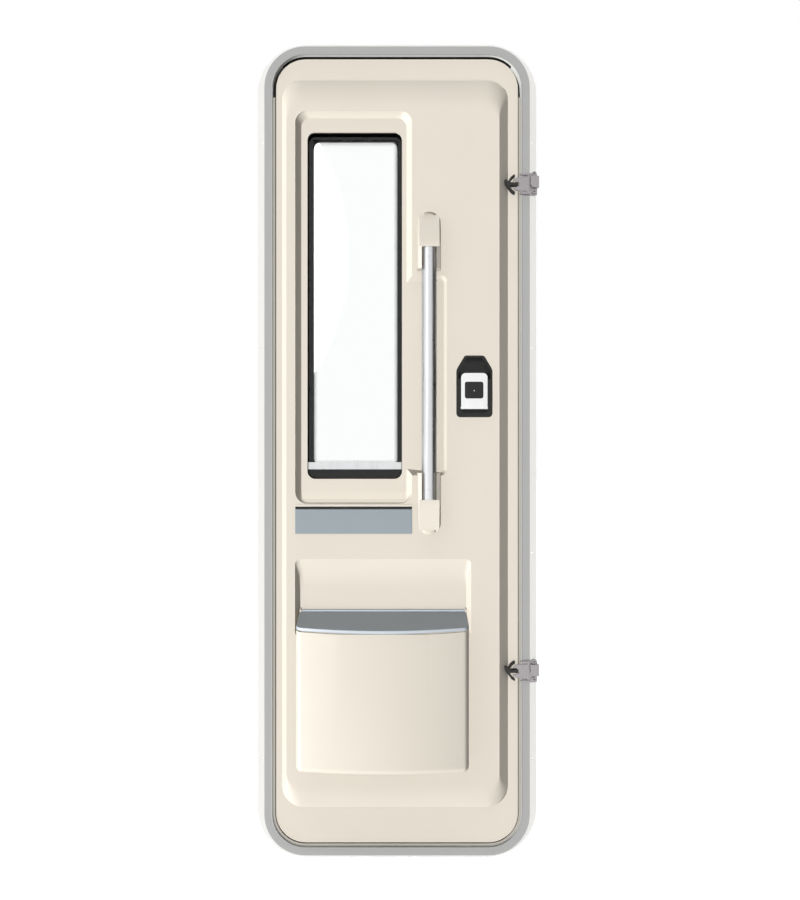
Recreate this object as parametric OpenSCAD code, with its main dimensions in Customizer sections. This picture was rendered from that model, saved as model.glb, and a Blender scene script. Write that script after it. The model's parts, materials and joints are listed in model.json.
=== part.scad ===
// Caravan entry door: a fixed frame for a wall cut-out, and an insulated leaf
// that swings outwards on two outside hinges. Seen from inside the caravan,
// +X is to the right, +Y points outdoors and +Z is up. The origin is in the
// middle of the sill flange, on the face that rests on the wall.

/* [Frame] */
// Width of the wall cut-out that the frame fills
cutout_w = 584; // [520:1:700]
// Height of the wall cut-out that the frame fills
cutout_h = 1780; // [1700:1:1950]
// Radius of the frame's outer corners
cutout_r = 90; // [60:1:130]
// Depth of the frame, from the wall flange to its indoor face
frame_depth = 44; // [36:1:60]
// Width of the band that shows indoors
band_w = 18.5; // [14:0.5:22]
// Width of the flange that laps the wall outdoors
flange_w = 20; // [16:1:30]
// Thickness of the flange
flange_t = 3; // [2:0.5:4]
// Depth of the outdoor rebate that takes the leaf's lip
rebate_depth = 14; // [12:1:18]
// Wall left beside the rebate
rebate_wall = 8; // [6:0.5:9]
// Thickness of the indoor trim ring
trim_t = 4; // [3:0.5:6]
// Height of the bead along the trim ring's inner edge
bead_h = 1.5; // [1:0.5:3]
// Width of that bead
bead_w = 2.5; // [2:0.5:4]
// Radius of the screw holes in the flange
screw_hole_r = 2.2; // [1.5:0.1:3]

/* [Leaf] */
// Gap between the leaf and the frame's band
leaf_gap = 6.5; // [6:0.5:8]
// Gap between the leaf's lip and the rebate's wall
lip_gap = 5.5; // [5:0.5:6]
// How far the liner's rim stands back from the frame's indoor face
rim_set_back = 10; // [8:0.5:12]
// Thickness of the liner's rim
liner_t = 6; // [4:0.5:8]
// Thickness of the leaf's lip behind the skin
lip_t = 10; // [7:0.5:11]
// Thickness of the outdoor skin
skin_t = 2; // [1:0.5:3]
// Width of the edge profile round the core
edge_w = 12; // [8:1:20]
// Height of the raised panel over the rim
panel_h = 14; // [10:1:20]
// Radius of the raised panel's corners
panel_r = 45; // [30:1:60]

/* [Window] */
// Width of the window opening in the liner
window_w = 209; // [180:1:215]
// Height of the window opening in the liner
window_h = 766; // [600:1:780]
// Depth of the recess round the window
recess_depth = 15; // [8:0.5:17]
// Thickness of each pane
pane_t = 3; // [2:0.5:4]
// Width of the black edge of the panes, at the sides
pane_edge_w = 12; // [8:1:16]

/* [Grab bar] */
// Radius of the grab bar
bar_r = 16; // [12:0.5:18]
// Height of the bar's axis over the raised panel
bar_stand_off = 24; // [20:1:32]
// Width of each bar socket
socket_w = 52; // [42:1:60]

/* [Bin] */
// Width of the bin
bin_w = 367; // [300:1:380]
// Depth of the bin at its sides
bin_d = 85; // [60:1:110]
// How far the bin's front bulges in the middle
bin_bulge = 20; // [8:1:30]
// Wall of the bin
bin_wall = 3; // [2:0.5:5]
// Slope of the bin's lid
lid_slope = 13; // [8:1:18]

/* [Latch] */
// Width of the latch bezel
bezel_w = 79; // [70:1:90]
// Height of the latch bezel
bezel_h = 135; // [120:1:150]
// Width of the lever
lever_w = 58; // [48:1:60]
// Height of the lever
lever_h = 80; // [60:1:84]

/* [Hidden] */
$fn = 96;

cream = "#e4dccf";
grey = "#aeaeae";
dark_grey = "#7e868b";
silver = "#d4d6d8";
white = "#f0f0ee";
black = "#1c1c1c";

// Depths, along Y, of the main faces
y_wall = 0;
y_frame = y_wall - frame_depth;
y_trim_back = y_frame + trim_t;
y_rebate = y_wall - rebate_depth;
y_rim = y_frame + rim_set_back;
y_liner_back = y_rim + liner_t;
y_panel = y_rim - panel_h;
y_skin = y_wall + flange_t;
y_core_out = y_skin - skin_t;
y_lip = y_core_out - lip_t;
y_floor = y_panel + recess_depth;

// Heights of the frame and the leaf
z_frame = flange_w / 2;
z_mid = z_frame + cutout_h / 2;
opening_w = cutout_w - 2 * band_w;
opening_h = cutout_h - 2 * band_w;
opening_r = cutout_r - band_w;
leaf_w = opening_w - 2 * leaf_gap;
leaf_h = opening_h - 2 * leaf_gap;
leaf_r = opening_r - leaf_gap;
rebate_w = cutout_w - 2 * rebate_wall;
rebate_h = cutout_h - 2 * rebate_wall;
rebate_r = cutout_r - rebate_wall;
lip_w = rebate_w - 2 * lip_gap;
lip_h = rebate_h - 2 * lip_gap;
lip_r = rebate_r - lip_gap;
// Height at which the jambs meet the head and the sill
jamb_cut = cutout_h / 2 - cutout_r - 20;
// Screws in the flange: heights beside the middle, and distance from the middle at the ends
screw_heights = [230, 690];
end_screw_x = 150;

// Raised panel: its margins from the rim's edge and the widths of its slopes
panel_left = 13;
panel_right = 22;
panel_top = 44;
panel_bottom = 80;
slope_left = 11;
slope_right = 20;
slope_top = 68;
slope_bottom = 48;

// Window: places of the opening and of the recess round it
window_x = -leaf_w / 2 + 69;
window_z = z_mid - 62;
window_r = 17;
recess_left = 25.5;
recess_right = 22;
recess_top = 43;
recess_bottom = 54;
recess_slope = 12;
recess_foot_slope = 2;
// The recess's floor curves away from the room over this height, down to the blind's slot
foot_roll_h = 28;
foot_wall_t = 1.2;
recess_r = 26;
bar_x = leaf_w / 2 - 197;
hand_x = [bar_x - 90, bar_x + 40];
hand_slope = 14;
hand_z = [z_mid - 54, z_mid + 386];
y_pane = y_liner_back + 13;
pane_lap = 9;
tunnel_lip = 1;
groove_d = 3;
pull_bar_y = [y_liner_back + 3, y_liner_back + 9];
pull_bar_gap = 0.3;
pull_bar_h = 16;
cassette_d = 24;
pull_bar_rest = 21;
cassette_x = [window_x - 6, window_x + window_w + 6];
cassette_z = [z_mid - 172, z_mid - 100];
cassette_r = 8;
blind_x = [window_x - recess_left, window_x + window_w + recess_right];
cover_z = [z_mid - 182, z_mid - 128];
cover_t = 3;
groove_z = [cover_z[1], z_mid - 122];
lip_z = [groove_z[1], z_mid - 117];
blind_lip_t = 5;
slot_depth = 6;
slot_seal_t = 4;

// Grab bar
bar_z = [z_mid - 118, z_mid + 454];
bar_screw_z = [bar_z[0] + 35, bar_z[1] - 35];
bar_screw_r = 2;
bar_screw_fit = 0.15;
bar_screw_grip = 6;
screw_head_r = 3.5;
screw_head_h = 1.3;
cover_lap = 12;
y_bar = y_panel - bar_stand_off;
socket_h = bar_stand_off + bar_r + 2;
upper_socket_z = [z_mid + 395, z_mid + 520];
lower_socket_z = [z_mid - 182, z_mid - 48];
// Each socket's section: height as a share of the whole, and how far its sides have drawn in
socket_steps = [[0, 0], [0.35, 0.8], [0.65, 3], [0.85, 7], [0.96, 11.5], [1, 14]];
bar_fit = 0.2;
bar_wall = 2;

// Latch
latch_x = leaf_w / 2 - 97;
latch_z = z_mid + 74;
bezel_top_w = 49;
bezel_shoulder = 36;
bezel_foot_r = 9;
bezel_side_r = 18;
bezel_top_r = 8;
bezel_proud = 3;
bezel_frame_w = 9;
bezel_floor_t = 3;
bowl_r = 24;
bowl_side = 4;
bowl_front = 7;
bezel_bead_w = 6.5;
bezel_bead_h = 2;
bezel_fit = 0.3;
inset_side = 8;
inset_z = 24;
inset_w = 41;
inset_h = 37;
inset_r = 5;
inset_fit = 0.2;
lever_t = 7;
lever_gap = 2.5;
lever_z = latch_z + 17;
lever_pin_r = 2;
lever_crown = 1.5;
lever_corner_r = 10;
lever_pin_fit = 0.1;
lever_pivot = [y_panel + lever_t / 2, lever_z + lever_t / 2];

// Lip seal on the frame
lip_seal_t = 2;
lip_seal_gap = 1.5;

// Strikers and catches
striker_z = [z_mid - 484, z_mid + 586];
catch_x = leaf_w / 2;

// Hinges
hinge_z = [z_mid - 560, z_mid + 560];
hinge_h = 90;
barrel_r = 6;
pin_r = 3;
pin_fit = 0.05;
plate_t = 3;
hinge_x = -(cutout_w / 2 - 5);
y_hinge = y_skin + plate_t + barrel_r;
knuckle_gap = 0.5;
knuckle_h = (hinge_h - 2 * knuckle_gap) / 3;

// Bin
bin_x = -leaf_w / 2 + 53;
bin_z = z_mid - 682;
bin_back = y_panel;
bin_r = 14;
bin_top = z_mid - 352;
lid_t = 8;
lid_pivot = [y_panel + 9, z_mid - 352];
lid_pin_r = 2.5;
lid_pin_fit = 0.1;
lid_knuckle_r = 3.4;
lid_seat_gap = 0.4;
ear_t = 3;
ear_r = 7;
ear_lid_gap = 3;
scoop_w = 182;
scoop_h = 11;
bin_foot_r = 13;
niche_side = 10;
niche_z = [z_mid - 410, z_mid - 237.5];
niche_depth = 18;

// Extrudes a profile drawn in X and Z from depth y0 to depth y1.
module slab(y0, y1) {
  translate([0, y1, 0]) rotate([90, 0, 0]) linear_extrude(y1 - y0) children();
}

module round_rect(x0, z0, w, h, r) {
  translate([x0 + r, z0 + r]) {
    square([w - 2 * r, h - 2 * r]);
    translate([-r, 0]) square([w, h - 2 * r]);
    translate([0, -r]) square([w - 2 * r, h]);
    for (x = [0, w - 2 * r], z = [0, h - 2 * r]) translate([x, z]) circle(r);
  }
}

module centred_rect(w, h, r) {
  round_rect(-w / 2, z_mid - h / 2, w, h, r);
}

module ring(w, h, r, inner_w, inner_h, inner_r) {
  difference() {
    centred_rect(w, h, r);
    centred_rect(inner_w, inner_h, inner_r);
  }
}

// The frame's section: a thick indoor band, a thin rebate wall and the wall flange.
module frame_ring() {
  difference() {
    union() {
      slab(y_trim_back, y_rebate)
        ring(cutout_w, cutout_h, cutout_r, opening_w, opening_h, opening_r);
      slab(y_rebate, y_wall)
        ring(cutout_w, cutout_h, cutout_r, rebate_w, rebate_h, rebate_r);
      slab(y_wall, y_skin)
        ring(cutout_w + 2 * flange_w, cutout_h + 2 * flange_w, cutout_r + flange_w,
             rebate_w, rebate_h, rebate_r);
    }
    frame_screw_holes();
  }
}

module frame_screw_holes() {
  side_x = cutout_w / 2 + flange_w / 2;
  end_z = cutout_h / 2 + flange_w / 2;
  for (x = [-side_x, side_x], s = [-1, 1], z = screw_heights) frame_screw_hole(x, z_mid + s * z);
  for (x = [-end_screw_x, end_screw_x], z = [-end_z, end_z]) frame_screw_hole(x, z_mid + z);
}

module frame_screw_hole(x, z) {
  translate([x, y_skin + 1, z]) rotate([90, 0, 0]) cylinder(h = flange_t + 2, r = screw_hole_r);
}

module frame_window(x0, x1, z0, z1) {
  translate([x0, y_frame - 1, z0]) cube([x1 - x0, frame_depth + flange_t + 2, z1 - z0]);
}

big = 2000;

module frame_head() {
  color(white) intersection() {
    frame_ring();
    frame_window(-big, big, z_mid + jamb_cut, big);
  }
}

module frame_sill() {
  color(white) intersection() {
    frame_ring();
    frame_window(-big, big, -big, z_mid - jamb_cut);
  }
}

module frame_left_jamb() {
  color(white) intersection() {
    frame_ring();
    frame_window(-big, 0, z_mid - jamb_cut, z_mid + jamb_cut);
  }
}

module frame_right_jamb() {
  color(white) intersection() {
    frame_ring();
    frame_window(0, big, z_mid - jamb_cut, z_mid + jamb_cut);
  }
}

// Grey ring that covers the frame's indoor face, with a bead along its inner edge.
module frame_trim_ring() {
  color(grey) {
    slab(y_frame, y_trim_back) ring(cutout_w, cutout_h, cutout_r, opening_w, opening_h, opening_r);
    slab(y_frame - bead_h, y_frame)
      ring(opening_w + 2 * bead_w, opening_h + 2 * bead_w, opening_r + bead_w,
           opening_w, opening_h, opening_r);
  }
}

// Rubber seal on the rebate's step. The leaf's lip closes against it.
module frame_seal() {
  seal_side = 1.5;
  seal_gap = 0.5;
  color(black) slab(y_rebate, y_lip - seal_gap)
    ring(rebate_w - 2 * seal_side, rebate_h - 2 * seal_side, rebate_r - seal_side,
         opening_w + 2 * seal_side, opening_h + 2 * seal_side, opening_r + seal_side);
}

// Soft lip that closes the gap beside the leaf and under it. Over the leaf the gap stays open.
module frame_lip_seal() {
  color(grey) intersection() {
    slab(y_rim - lip_seal_t, y_rim)
      ring(opening_w, opening_h, opening_r,
           leaf_w + 2 * lip_seal_gap, leaf_h + 2 * lip_seal_gap, leaf_r + lip_seal_gap);
    frame_window(-big, big, -big, z_mid + jamb_cut);
  }
}

// Striker: a forked plate on the frame, which reaches over the leaf's rim. Two arms brace it, and
// a clamp block holds it at the ring's outer edge.
tongue_t = 3;
tongue_r = 15;
slot_r = 6.5;
slot_end = -5;
finger_r = 4.5;
arm_z = 21;
arm_h = 3;
arm_x = 3;
bridge_w = 6;
claw_gap = 3.5;
claw_t = 4.5;
claw_r = tongue_r + claw_gap + claw_t;
claw_open_x = -8;
claw_proud = 1;
claw_fit = 0.3;
block_w = 19;
block_z = [-9, 16];
block_h = 8;
block_chamfer = 6;
base_lap = 16;
base_h = 50;
base_r = 4;
y_striker = y_frame - bead_h;

module striker_plate(z) {
  reach = cutout_w / 2 - catch_x;
  color(silver) translate([catch_x, 0, z]) {
    slab(y_striker - tongue_t, y_striker) difference() {
      union() {
        circle(tongue_r);
        translate([0, -tongue_r]) square([reach, 2 * tongue_r]);
        translate([reach - bridge_w, -arm_z - arm_h / 2]) square([bridge_w, 2 * arm_z + arm_h]);
      }
      translate([slot_end, 0]) circle(slot_r);
      translate([-2 * tongue_r, -slot_r]) square([2 * tongue_r + slot_end, 2 * slot_r]);
    }
    for (s = [-1, 1]) slab(y_striker - 2 * tongue_t, y_striker)
      translate([arm_x, s * arm_z - arm_h / 2]) square([reach - arm_x, arm_h]);
  }
}

module striker_block(z) {
  knob = [[9, 22, 5], [9, -17, 4.5]];
  color(silver) translate([cutout_w / 2, 0, z]) {
    slab(y_striker - tongue_t - block_h, y_striker) polygon([
      [0.5, block_z[1]], [block_w, block_z[1]], [block_w, block_z[0]],
      [block_chamfer, block_z[0]], [0.5, block_z[0] + block_chamfer]
    ]);
    for (k = knob) slab(y_striker - tongue_t - block_h / 2, y_striker) translate([k[0], k[1]])
      difference() {
        circle(k[2]);
        circle(k[2] / 2);
      }
    slab(y_striker, y_frame) round_rect(-base_lap, -base_h / 2, 2 * base_lap, base_h, base_r);
  }
}

module upper_striker_plate() { striker_plate(striker_z[1]); }
module lower_striker_plate() { striker_plate(striker_z[0]); }
module upper_striker_block() { striker_block(striker_z[1]); }
module lower_striker_block() { striker_block(striker_z[0]); }

// Catch on the leaf: a black claw whose finger lies in the striker's slot, with a tapered tail
// that runs up the raised panel's slope.
module claw_tail(grow) {
  hull() for (p = [[-29, 9], [-28, 1], [-20, -9], [-19, 4]]) translate(p) circle(1.5 + grow, $fn = 24);
}

module catch_claw(z) {
  color(black) translate([catch_x, 0, z]) slab(y_striker - tongue_t - claw_proud, y_rim) {
    difference() {
      circle(claw_r);
      circle(claw_r - claw_t);
      translate([claw_open_x, -2 * claw_r]) square([2 * claw_r, 4 * claw_r]);
    }
    translate([-claw_r + claw_t / 2, -finger_r + 1])
      square([claw_r - claw_t / 2 + slot_end, 2 * finger_r - 2]);
    translate([slot_end, 0]) circle(finger_r);
    claw_tail(0);
  }
}

// Room for a catch in the raised panel's slope
module catch_pocket(z) {
  translate([catch_x, 0, z]) slab(y_panel - 1, y_rim) {
    circle(claw_r + claw_fit);
    claw_tail(claw_fit);
  }
}

module upper_catch() { catch_claw(striker_z[1]); }
module lower_catch() { catch_claw(striker_z[0]); }

// Hinges outdoors: knuckles on the frame plate hold the pin, the leaf's knuckle turns on it.
frame_plate_x = -(cutout_w / 2 + flange_w - 1);
leaf_plate_w = 46;
leaf_plate_gap = 12;
hinge_seat_gap = 3;
pin_head_h = 3;

module hinge_frame_plate(z) {
  low = z - hinge_h / 2;
  color(white) difference() {
    union() {
      translate([frame_plate_x, y_skin, low])
        cube([hinge_x - hinge_seat_gap - frame_plate_x, plate_t, hinge_h]);
      for (k = [0, 2]) {
        translate([hinge_x, y_hinge, low + k * (knuckle_h + knuckle_gap)])
          cylinder(h = knuckle_h, r = barrel_r);
        translate([frame_plate_x, y_skin, low + k * (knuckle_h + knuckle_gap)])
          cube([hinge_x - frame_plate_x, barrel_r, knuckle_h]);
      }
    }
    translate([hinge_x, y_hinge, low - 1]) cylinder(h = hinge_h + 2, r = pin_r + pin_fit);
    translate([hinge_x - barrel_r - 1, y_skin + plate_t - 1, low + knuckle_h])
      cube([2 * barrel_r + 2, 2 * barrel_r + 2, knuckle_h + 2 * knuckle_gap]);
  }
}

module hinge_leaf_plate(z) {
  low = z - knuckle_h / 2;
  color(white) difference() {
    union() {
      translate([hinge_x, y_hinge, low]) cylinder(h = knuckle_h, r = barrel_r);
      translate([hinge_x, y_hinge - barrel_r, low])
        cube([leaf_plate_gap + 4, barrel_r, knuckle_h]);
      translate([hinge_x + leaf_plate_gap, y_skin, z - hinge_h / 2]) cube([leaf_plate_w, plate_t, hinge_h]);
    }
    translate([hinge_x, y_hinge, low - 1]) cylinder(h = knuckle_h + 2, r = pin_r + pin_fit);
  }
}

module hinge_pin(z) {
  color(silver) translate([hinge_x, y_hinge, z - hinge_h / 2]) {
    cylinder(h = hinge_h, r = pin_r);
    for (s = [-pin_head_h, hinge_h]) translate([0, 0, s]) cylinder(h = pin_head_h, r = barrel_r - 1);
  }
}

module upper_hinge_frame_plate() { hinge_frame_plate(hinge_z[1]); }
module lower_hinge_frame_plate() { hinge_frame_plate(hinge_z[0]); }
module upper_hinge_leaf_plate() { hinge_leaf_plate(hinge_z[1]); }
module lower_hinge_leaf_plate() { hinge_leaf_plate(hinge_z[0]); }
module upper_hinge_pin() { hinge_pin(hinge_z[1]); }
module lower_hinge_pin() { hinge_pin(hinge_z[0]); }

// Cut-outs through the leaf behind the liner
module pane_rect(grow) {
  round_rect(window_x - grow, window_z - grow, window_w + 2 * grow, window_h + 2 * grow,
             window_r + grow);
}

module outer_skin() {
  color(white) slab(y_core_out, y_skin) difference() {
    centred_rect(lip_w, lip_h, lip_r);
    pane_rect(pane_lap + 2);
  }
}

module leaf_core() {
  color("#d9d4c6") slab(y_liner_back, y_core_out) difference() {
    centred_rect(leaf_w - 2 * edge_w, leaf_h - 2 * edge_w, leaf_r - edge_w);
    pane_rect(pane_lap + 2);
    translate([cassette_x[0] - 1, cassette_z[0] - 1])
      square([cassette_x[1] - cassette_x[0] + 2, cassette_z[1] - cassette_z[0] + 2]);
  }
}

module leaf_edge_profile() {
  color(white) {
    slab(y_liner_back, y_lip)
      ring(leaf_w, leaf_h, leaf_r, leaf_w - 2 * edge_w, leaf_h - 2 * edge_w, leaf_r - edge_w);
    slab(y_lip, y_core_out)
      ring(lip_w, lip_h, lip_r, leaf_w - 2 * edge_w, leaf_h - 2 * edge_w, leaf_r - edge_w);
  }
}

// Lofts a solid through levels, each [y, x0, z0, x1, z1, corner radius], from indoors to outdoors.
corner_steps = 8;
function rounded_ring(l) = [
  for (c = [[l[3] - l[5], l[2] + l[5], -90], [l[3] - l[5], l[4] - l[5], 0],
            [l[1] + l[5], l[4] - l[5], 90], [l[1] + l[5], l[2] + l[5], 180]])
    for (i = [0:corner_steps])
      [c[0] + l[5] * cos(c[2] + i * 90 / corner_steps), l[0],
       c[1] + l[5] * sin(c[2] + i * 90 / corner_steps)]
];

module loft(levels) {
  stack([for (l = levels) rounded_ring(l)]);
}

// Joins rings of equally many points into one solid. Each ring runs anticlockwise as seen from
// the first ring's side.
module stack(rings) {
  n = len(rings[0]);
  last = len(rings) - 1;
  sides = [
    for (k = [0:last - 1], i = [0:n - 1])
      let (j = (i + 1) % n, a = k * n, b = a + n)
        each [[a + i, b + j, b + i], [a + i, a + j, b + j]]
  ];
  ends = [[for (i = [n - 1:-1:0]) i], [for (i = [0:n - 1]) last * n + i]];
  polyhedron([for (r = rings) each r], concat(sides, ends));
}

// The raised panel has straight slopes at its sides. At its top and bottom its face rolls off in
// a parabola, down to the rim.
panel_heights = [0, 0.16, 0.35, 0.55, 0.75, 0.9, 0.975, 1];
function roll(h) = 1 - sqrt(1 - h);
module raised_panel() {
  x0 = -leaf_w / 2 + panel_left;
  x1 = leaf_w / 2 - panel_right;
  z0 = z_mid - leaf_h / 2 + panel_bottom;
  z1 = z_mid + leaf_h / 2 - panel_top;
  last = len(panel_heights) - 1;
  loft([
    for (i = [last:-1:0]) let (h = panel_heights[i])
      [y_rim - h * panel_h, x0 + h * slope_left, z0 + roll(h) * slope_bottom,
       x1 - h * slope_right, z1 - roll(h) * slope_top, panel_r - h * slope_left],
    [y_rim + 1, x0, z0, x1, z1, panel_r]
  ]);
}

module window_recess() {
  x0 = window_x - recess_left;
  x1 = window_x + window_w + recess_right;
  z0 = window_z - recess_bottom;
  z1 = window_z + window_h + recess_top;
  floor_r = recess_r - recess_slope / 2;
  loft([
    [y_panel - 1, x0, z0, x1, z1, recess_r],
    [y_panel, x0, z0, x1, z1, recess_r],
    [y_panel + 3, x0 + 1, z0 + 2, x1 - 1, z1 - 1, recess_r - 1],
    [y_floor - 2, x0 + recess_slope - 3, z0 + recess_foot_slope - 5,
     x1 - recess_slope + 3, z1 - recess_slope + 3, floor_r + 2],
    [y_floor, x0 + recess_slope, z0 + recess_foot_slope, x1 - recess_slope, z1 - recess_slope, floor_r]
  ]);
}

// Roll-off at the recess's foot, where the blind goes in behind its cover
module recess_foot() {
  x0 = window_x - recess_left + recess_slope;
  x1 = window_x + window_w + recess_right - recess_slope;
  z0 = window_z - recess_bottom + recess_foot_slope;
  deep = y_liner_back - foot_wall_t - y_floor;
  loft([
    [y_floor - 1, x0, z0, x1, z0 + foot_roll_h, 2],
    for (h = [0, 0.2, 0.5, 0.8, 1])
      [y_floor + h * deep, x0, z0, x1, z0 + foot_roll_h * (1 - 0.75 * sqrt(h)), 2]
  ]);
}

// Hollow behind the grab bar. It opens into the window's recess.
module hand_recess() {
  loft([
    [y_panel - 1, hand_x[0], hand_z[0], hand_x[1], hand_z[1], 14],
    [y_panel, hand_x[0], hand_z[0], hand_x[1], hand_z[1], 14],
    [y_floor - 3, hand_x[0], hand_z[0] + hand_slope - 3, hand_x[1] - hand_slope + 3,
     hand_z[1] - hand_slope + 3, 10],
    [y_floor, hand_x[0], hand_z[0] + hand_slope, hand_x[1] - hand_slope, hand_z[1] - hand_slope, 8]
  ]);
}

// Niche over the bin, shallow at its top and deep behind the lid
module bin_niche() {
  x0 = bin_x - niche_side;
  x1 = bin_x + bin_w + niche_side;
  slope = 8;
  loft([
    [y_panel - 1, x0, niche_z[0], x1, niche_z[1], 12],
    [y_panel, x0, niche_z[0], x1, niche_z[1], 12],
    [y_panel + 0.75 * niche_depth, x0 + slope, niche_z[0] + slope, x1 - slope, niche_z[1] - 30, 10],
    [y_panel + niche_depth, x0 + slope + 2, niche_z[0] + slope + 2, x1 - slope - 2, niche_z[1] - 60, 10]
  ]);
}

module bezel_outline(grow) {
  w = bezel_w / 2 + grow;
  t = bezel_top_w / 2 + grow;
  low = -bezel_h / 2 - grow;
  top = bezel_h / 2 + grow;
  translate([latch_x, latch_z + bezel_h / 2]) hull() {
    for (s = [-1, 1]) {
      translate([s * (w - bezel_foot_r), low + bezel_foot_r]) circle(bezel_foot_r, $fn = 32);
      translate([s * (w - bezel_side_r), top - bezel_shoulder]) circle(bezel_side_r, $fn = 32);
      translate([s * (t - bezel_top_r), top - bezel_top_r]) circle(bezel_top_r, $fn = 32);
    }
  }
}

module liner() {
  color(cream) difference() {
    union() {
      slab(y_rim, y_liner_back) centred_rect(leaf_w, leaf_h, leaf_r);
      raised_panel();
      slab(y_panel - bezel_bead_h, y_panel + 1) bezel_outline(bezel_bead_w);
    }
    window_recess();
    recess_foot();
    hand_recess();
    bin_niche();
    slab(y_floor - 1, y_liner_back + 1)
      round_rect(window_x, window_z, window_w, window_h, window_r);
    slab(y_panel - bezel_proud, y_liner_back + 1) bezel_outline(bezel_fit);
    slab(y_panel - 1, y_panel + slot_depth) blind_strip(groove_z);
    for (z = striker_z) catch_pocket(z);
  }
}

// Window
module window_inner_pane() {
  color([0.9, 0.95, 0.97, 0.35]) slab(y_pane, y_pane + pane_t) pane_rect(pane_lap);
}

module window_outer_pane() {
  color([0.9, 0.95, 0.97, 0.35]) slab(y_skin - pane_t, y_skin) pane_rect(pane_lap);
}

module clear_area() {
  round_rect(window_x + pane_edge_w, window_z + 29, window_w - 10 - pane_edge_w, window_h - 42, 16);
}

module window_spacer() {
  color(black) slab(y_pane + pane_t, y_skin - pane_t) difference() {
    pane_rect(pane_lap);
    clear_area();
  }
}

module window_gasket() {
  color(black) slab(y_core_out - 10, y_skin) difference() {
    pane_rect(pane_lap + 1.7);
    pane_rect(pane_lap + 0.3);
  }
}

// Black surround that lines the opening from the liner to the inner pane. The pull bar slides
// in its side grooves, and the blind comes up through the slot in its foot.
module window_tunnel() {
  color(black) difference() {
    slab(y_liner_back, y_pane) difference() {
      pane_rect(pane_lap);
      pane_rect(-tunnel_lip);
    }
    slab(pull_bar_y[0] - pull_bar_gap, pull_bar_y[1] + pull_bar_gap)
      translate([window_x - groove_d, window_z + pull_bar_rest - 1])
        square([window_w + 2 * groove_d, window_h - 60]);
  }
}

module blind_cassette() {
  color("#3a3b3c") slab(y_liner_back, y_liner_back + cassette_d)
    round_rect(cassette_x[0], cassette_z[0], cassette_x[1] - cassette_x[0],
               cassette_z[1] - cassette_z[0], cassette_r);
}

module blind_pull_bar() {
  side = groove_d - pull_bar_gap;
  color(silver) slab(pull_bar_y[0], pull_bar_y[1])
    round_rect(window_x - side, window_z + pull_bar_rest, window_w + 2 * side, pull_bar_h, 2);
}

module blind_strip(z) {
  translate([blind_x[0], z[0]]) square([blind_x[1] - blind_x[0], z[1] - z[0]]);
}

module blind_cover() {
  color(dark_grey) slab(y_panel - cover_t, y_panel) blind_strip(cover_z);
}

module blind_slot_seal() {
  color(black) slab(y_panel + slot_depth - slot_seal_t, y_panel + slot_depth) blind_strip(groove_z);
}

module blind_lip() {
  color(white) slab(y_panel - blind_lip_t, y_panel) blind_strip(lip_z);
}

// Grab bar and its sockets
module grab_bar() {
  length = bar_z[1] - bar_z[0];
  color(silver) difference() {
    translate([bar_x, y_bar, bar_z[0]]) difference() {
      cylinder(h = length, r = bar_r);
      translate([0, 0, -1]) cylinder(h = length + 2, r = bar_r - bar_wall);
    }
    for (z = bar_screw_z) bar_screw_shank(z, bar_screw_r + bar_screw_fit);
  }
}

// Shank of a bar screw: through the bar and into the socket behind it
module bar_screw_shank(z, r) {
  translate([bar_x, y_bar - bar_r, z]) rotate([-90, 0, 0]) cylinder(h = 2 * bar_r + bar_screw_grip, r = r);
}

module bar_screws() {
  color(silver) for (z = bar_screw_z) {
    bar_screw_shank(z, bar_screw_r);
    translate([bar_x, y_bar - bar_r - screw_head_h, z]) rotate([-90, 0, 0])
      cylinder(h = screw_head_h, r = screw_head_r);
  }
}

// A socket's body, domed at one end. Its sides draw in towards the room.
module socket_body(z0, z1, dome_up) {
  r = socket_w / 2;
  dome_z = dome_up ? z1 - r : z0 + r;
  flat_z = dome_up ? z0 : z1;
  hull() for (s = socket_steps) slab(y_panel - s[0] * socket_h - 0.01, y_panel - s[0] * socket_h)
    translate([bar_x, 0]) {
      translate([0, dome_z]) circle(r - s[1], $fn = 40);
      translate([-r + s[1], min(dome_z, flat_z)]) square([2 * (r - s[1]), abs(dome_z - flat_z)]);
    }
}

module bar_socket(z0, z1, dome_up) {
  bore_r = bar_r + bar_fit;
  bore_z = dome_up ? [z0 - 1, bar_z[1]] : [bar_z[0], z1 + 1];
  open_z = dome_up ? [z0 - 1, bar_z[1] - cover_lap] : [bar_z[0] + cover_lap, z1 + 1];
  color(cream) difference() {
    socket_body(z0, z1, dome_up);
    translate([bar_x, y_bar, bore_z[0]]) cylinder(h = bore_z[1] - bore_z[0], r = bore_r);
    translate([bar_x - bore_r, y_bar - 2 * socket_h, open_z[0]])
      cube([2 * bore_r, 2 * socket_h, open_z[1] - open_z[0]]);
    bar_screw_shank(bar_screw_z[dome_up ? 1 : 0], bar_screw_r + bar_screw_fit);
  }
}

module upper_bar_socket() { bar_socket(upper_socket_z[0], upper_socket_z[1], true); }
module lower_bar_socket() { bar_socket(lower_socket_z[0], lower_socket_z[1], false); }

// Latch: a black frame round the lever, with a bowl over it for the fingertips
y_bezel = y_panel - bezel_proud;
y_bezel_floor = y_liner_back - 1 - bezel_floor_t;

module latch_bezel() {
  bowl_z = latch_z + bezel_h - bowl_side - bowl_r;
  color(black) difference() {
    slab(y_bezel, y_liner_back - 1) bezel_outline(0);
    slab(y_bezel - 1, y_bezel_floor) bezel_outline(-bezel_frame_w);
    intersection() {
      slab(y_bezel - 1, y_bezel_floor) bezel_outline(-bowl_side);
      translate([latch_x - bezel_w, y_panel - bowl_front, bowl_z]) rotate([0, 90, 0])
        cylinder(h = 2 * bezel_w, r = bowl_r);
    }
    lever_axle(lever_pin_r + lever_pin_fit, lever_pin_length + 2);
  }
}

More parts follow.
